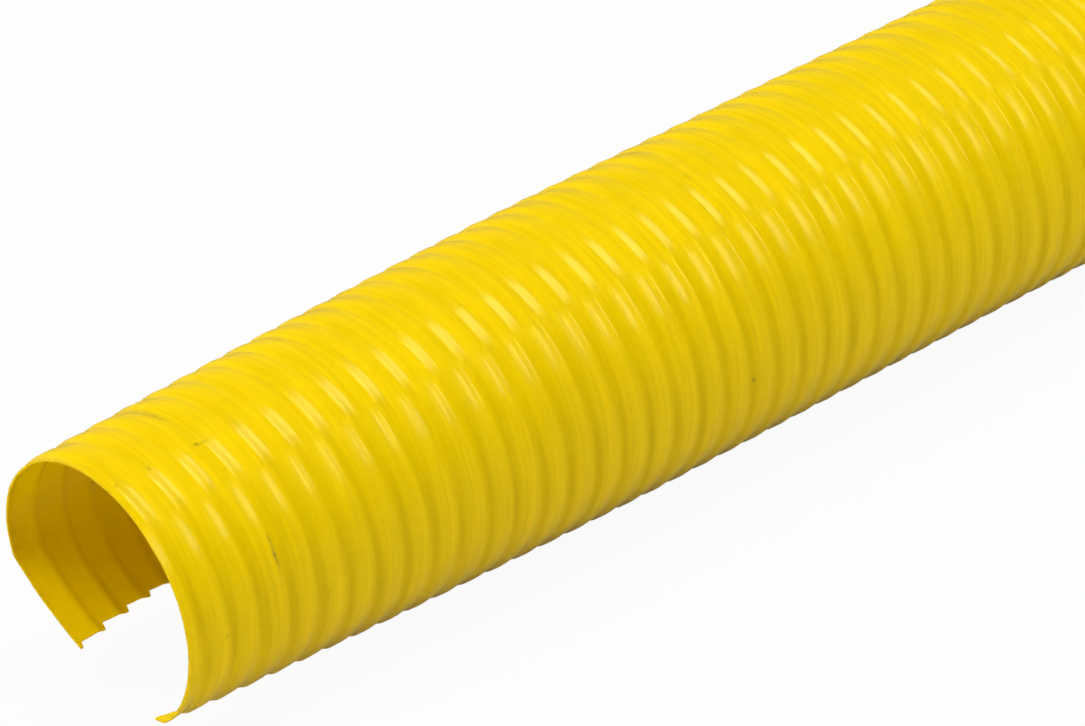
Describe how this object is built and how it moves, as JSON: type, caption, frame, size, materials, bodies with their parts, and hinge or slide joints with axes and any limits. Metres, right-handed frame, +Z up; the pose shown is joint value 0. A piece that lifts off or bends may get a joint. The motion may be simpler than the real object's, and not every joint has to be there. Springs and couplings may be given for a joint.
{
  "type": "cable trough",
  "caption": "Round corrugated plastic cable trough: a thin ribbed channel with an open underside that covers and guides cables.",
  "frame": {"origin": "on the floor under the middle of the trough's length, midway between its two cut edges", "axes": "+X along the trough, +Z up with the open side down"},
  "size_m": [2, 0.1098, 0.1009],
  "materials": {
    "yellow_plastic": "glossy"
  },
  "bodies": {
    "root": {"trough": "yellow_plastic"}
  },
  "joints": []
}
